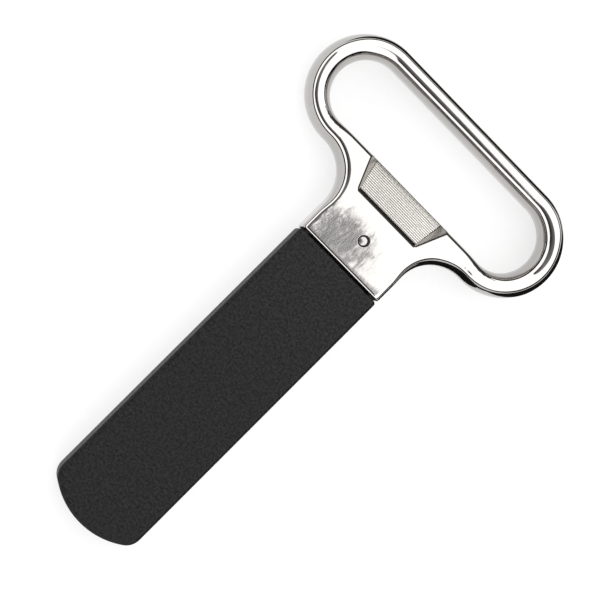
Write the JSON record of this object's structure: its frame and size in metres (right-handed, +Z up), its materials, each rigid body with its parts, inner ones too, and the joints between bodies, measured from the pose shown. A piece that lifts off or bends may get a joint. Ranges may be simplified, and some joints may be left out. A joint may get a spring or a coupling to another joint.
{
  "type": "two-prong cork puller",
  "caption": "Two-prong cork puller with a finger loop, a cap lifter in the handle and a plastic sheath that slides off its spring-steel prongs.",
  "frame": {"origin": "bottom centre of the bounding box, on the surface that the tool lies on", "axes": "+X across the finger loop, +Y along the tool from the sheath's tip to the loop, +Z up through the thickness"},
  "size_m": [0.07, 0.1216, 0.01],
  "materials": {
    "nickel_casting": "bright nickel plating on a zinc casting, finely brushed on the neck",
    "pin_steel": "plated, domed end",
    "spring_steel": "polished spring steel, brushed lengthwise",
    "sheath_plastic": "matte, fine moulded grain"
  },
  "bodies": {
    "body": {"handle": "nickel_casting", "retaining_pin": "pin_steel"},
    "long_prong": {"long_prong": "spring_steel"},
    "short_prong": {"short_prong": "spring_steel"},
    "sheath": {"sheath": "sheath_plastic"}
  },
  "joints": [
    {"name": "long_prong_flex", "type": "hinge", "parent": "body", "child": "long_prong", "pos_m": [0.0102, 0.02677, 0.005], "axis": [0, 0, -1], "range_deg": [0, 2.5], "stiffness_Nm_per_rad": 2.2},
    {"name": "short_prong_flex", "type": "hinge", "parent": "body", "child": "short_prong", "pos_m": [-0.0102, 0.02677, 0.005], "axis": [0, 0, 1], "range_deg": [0, 2.5], "stiffness_Nm_per_rad": 2.2},
    {"name": "sheath_slide", "type": "slide", "parent": "body", "child": "sheath", "axis": [0, -1, 0], "range_m": [0, 0.078]}
  ]
}
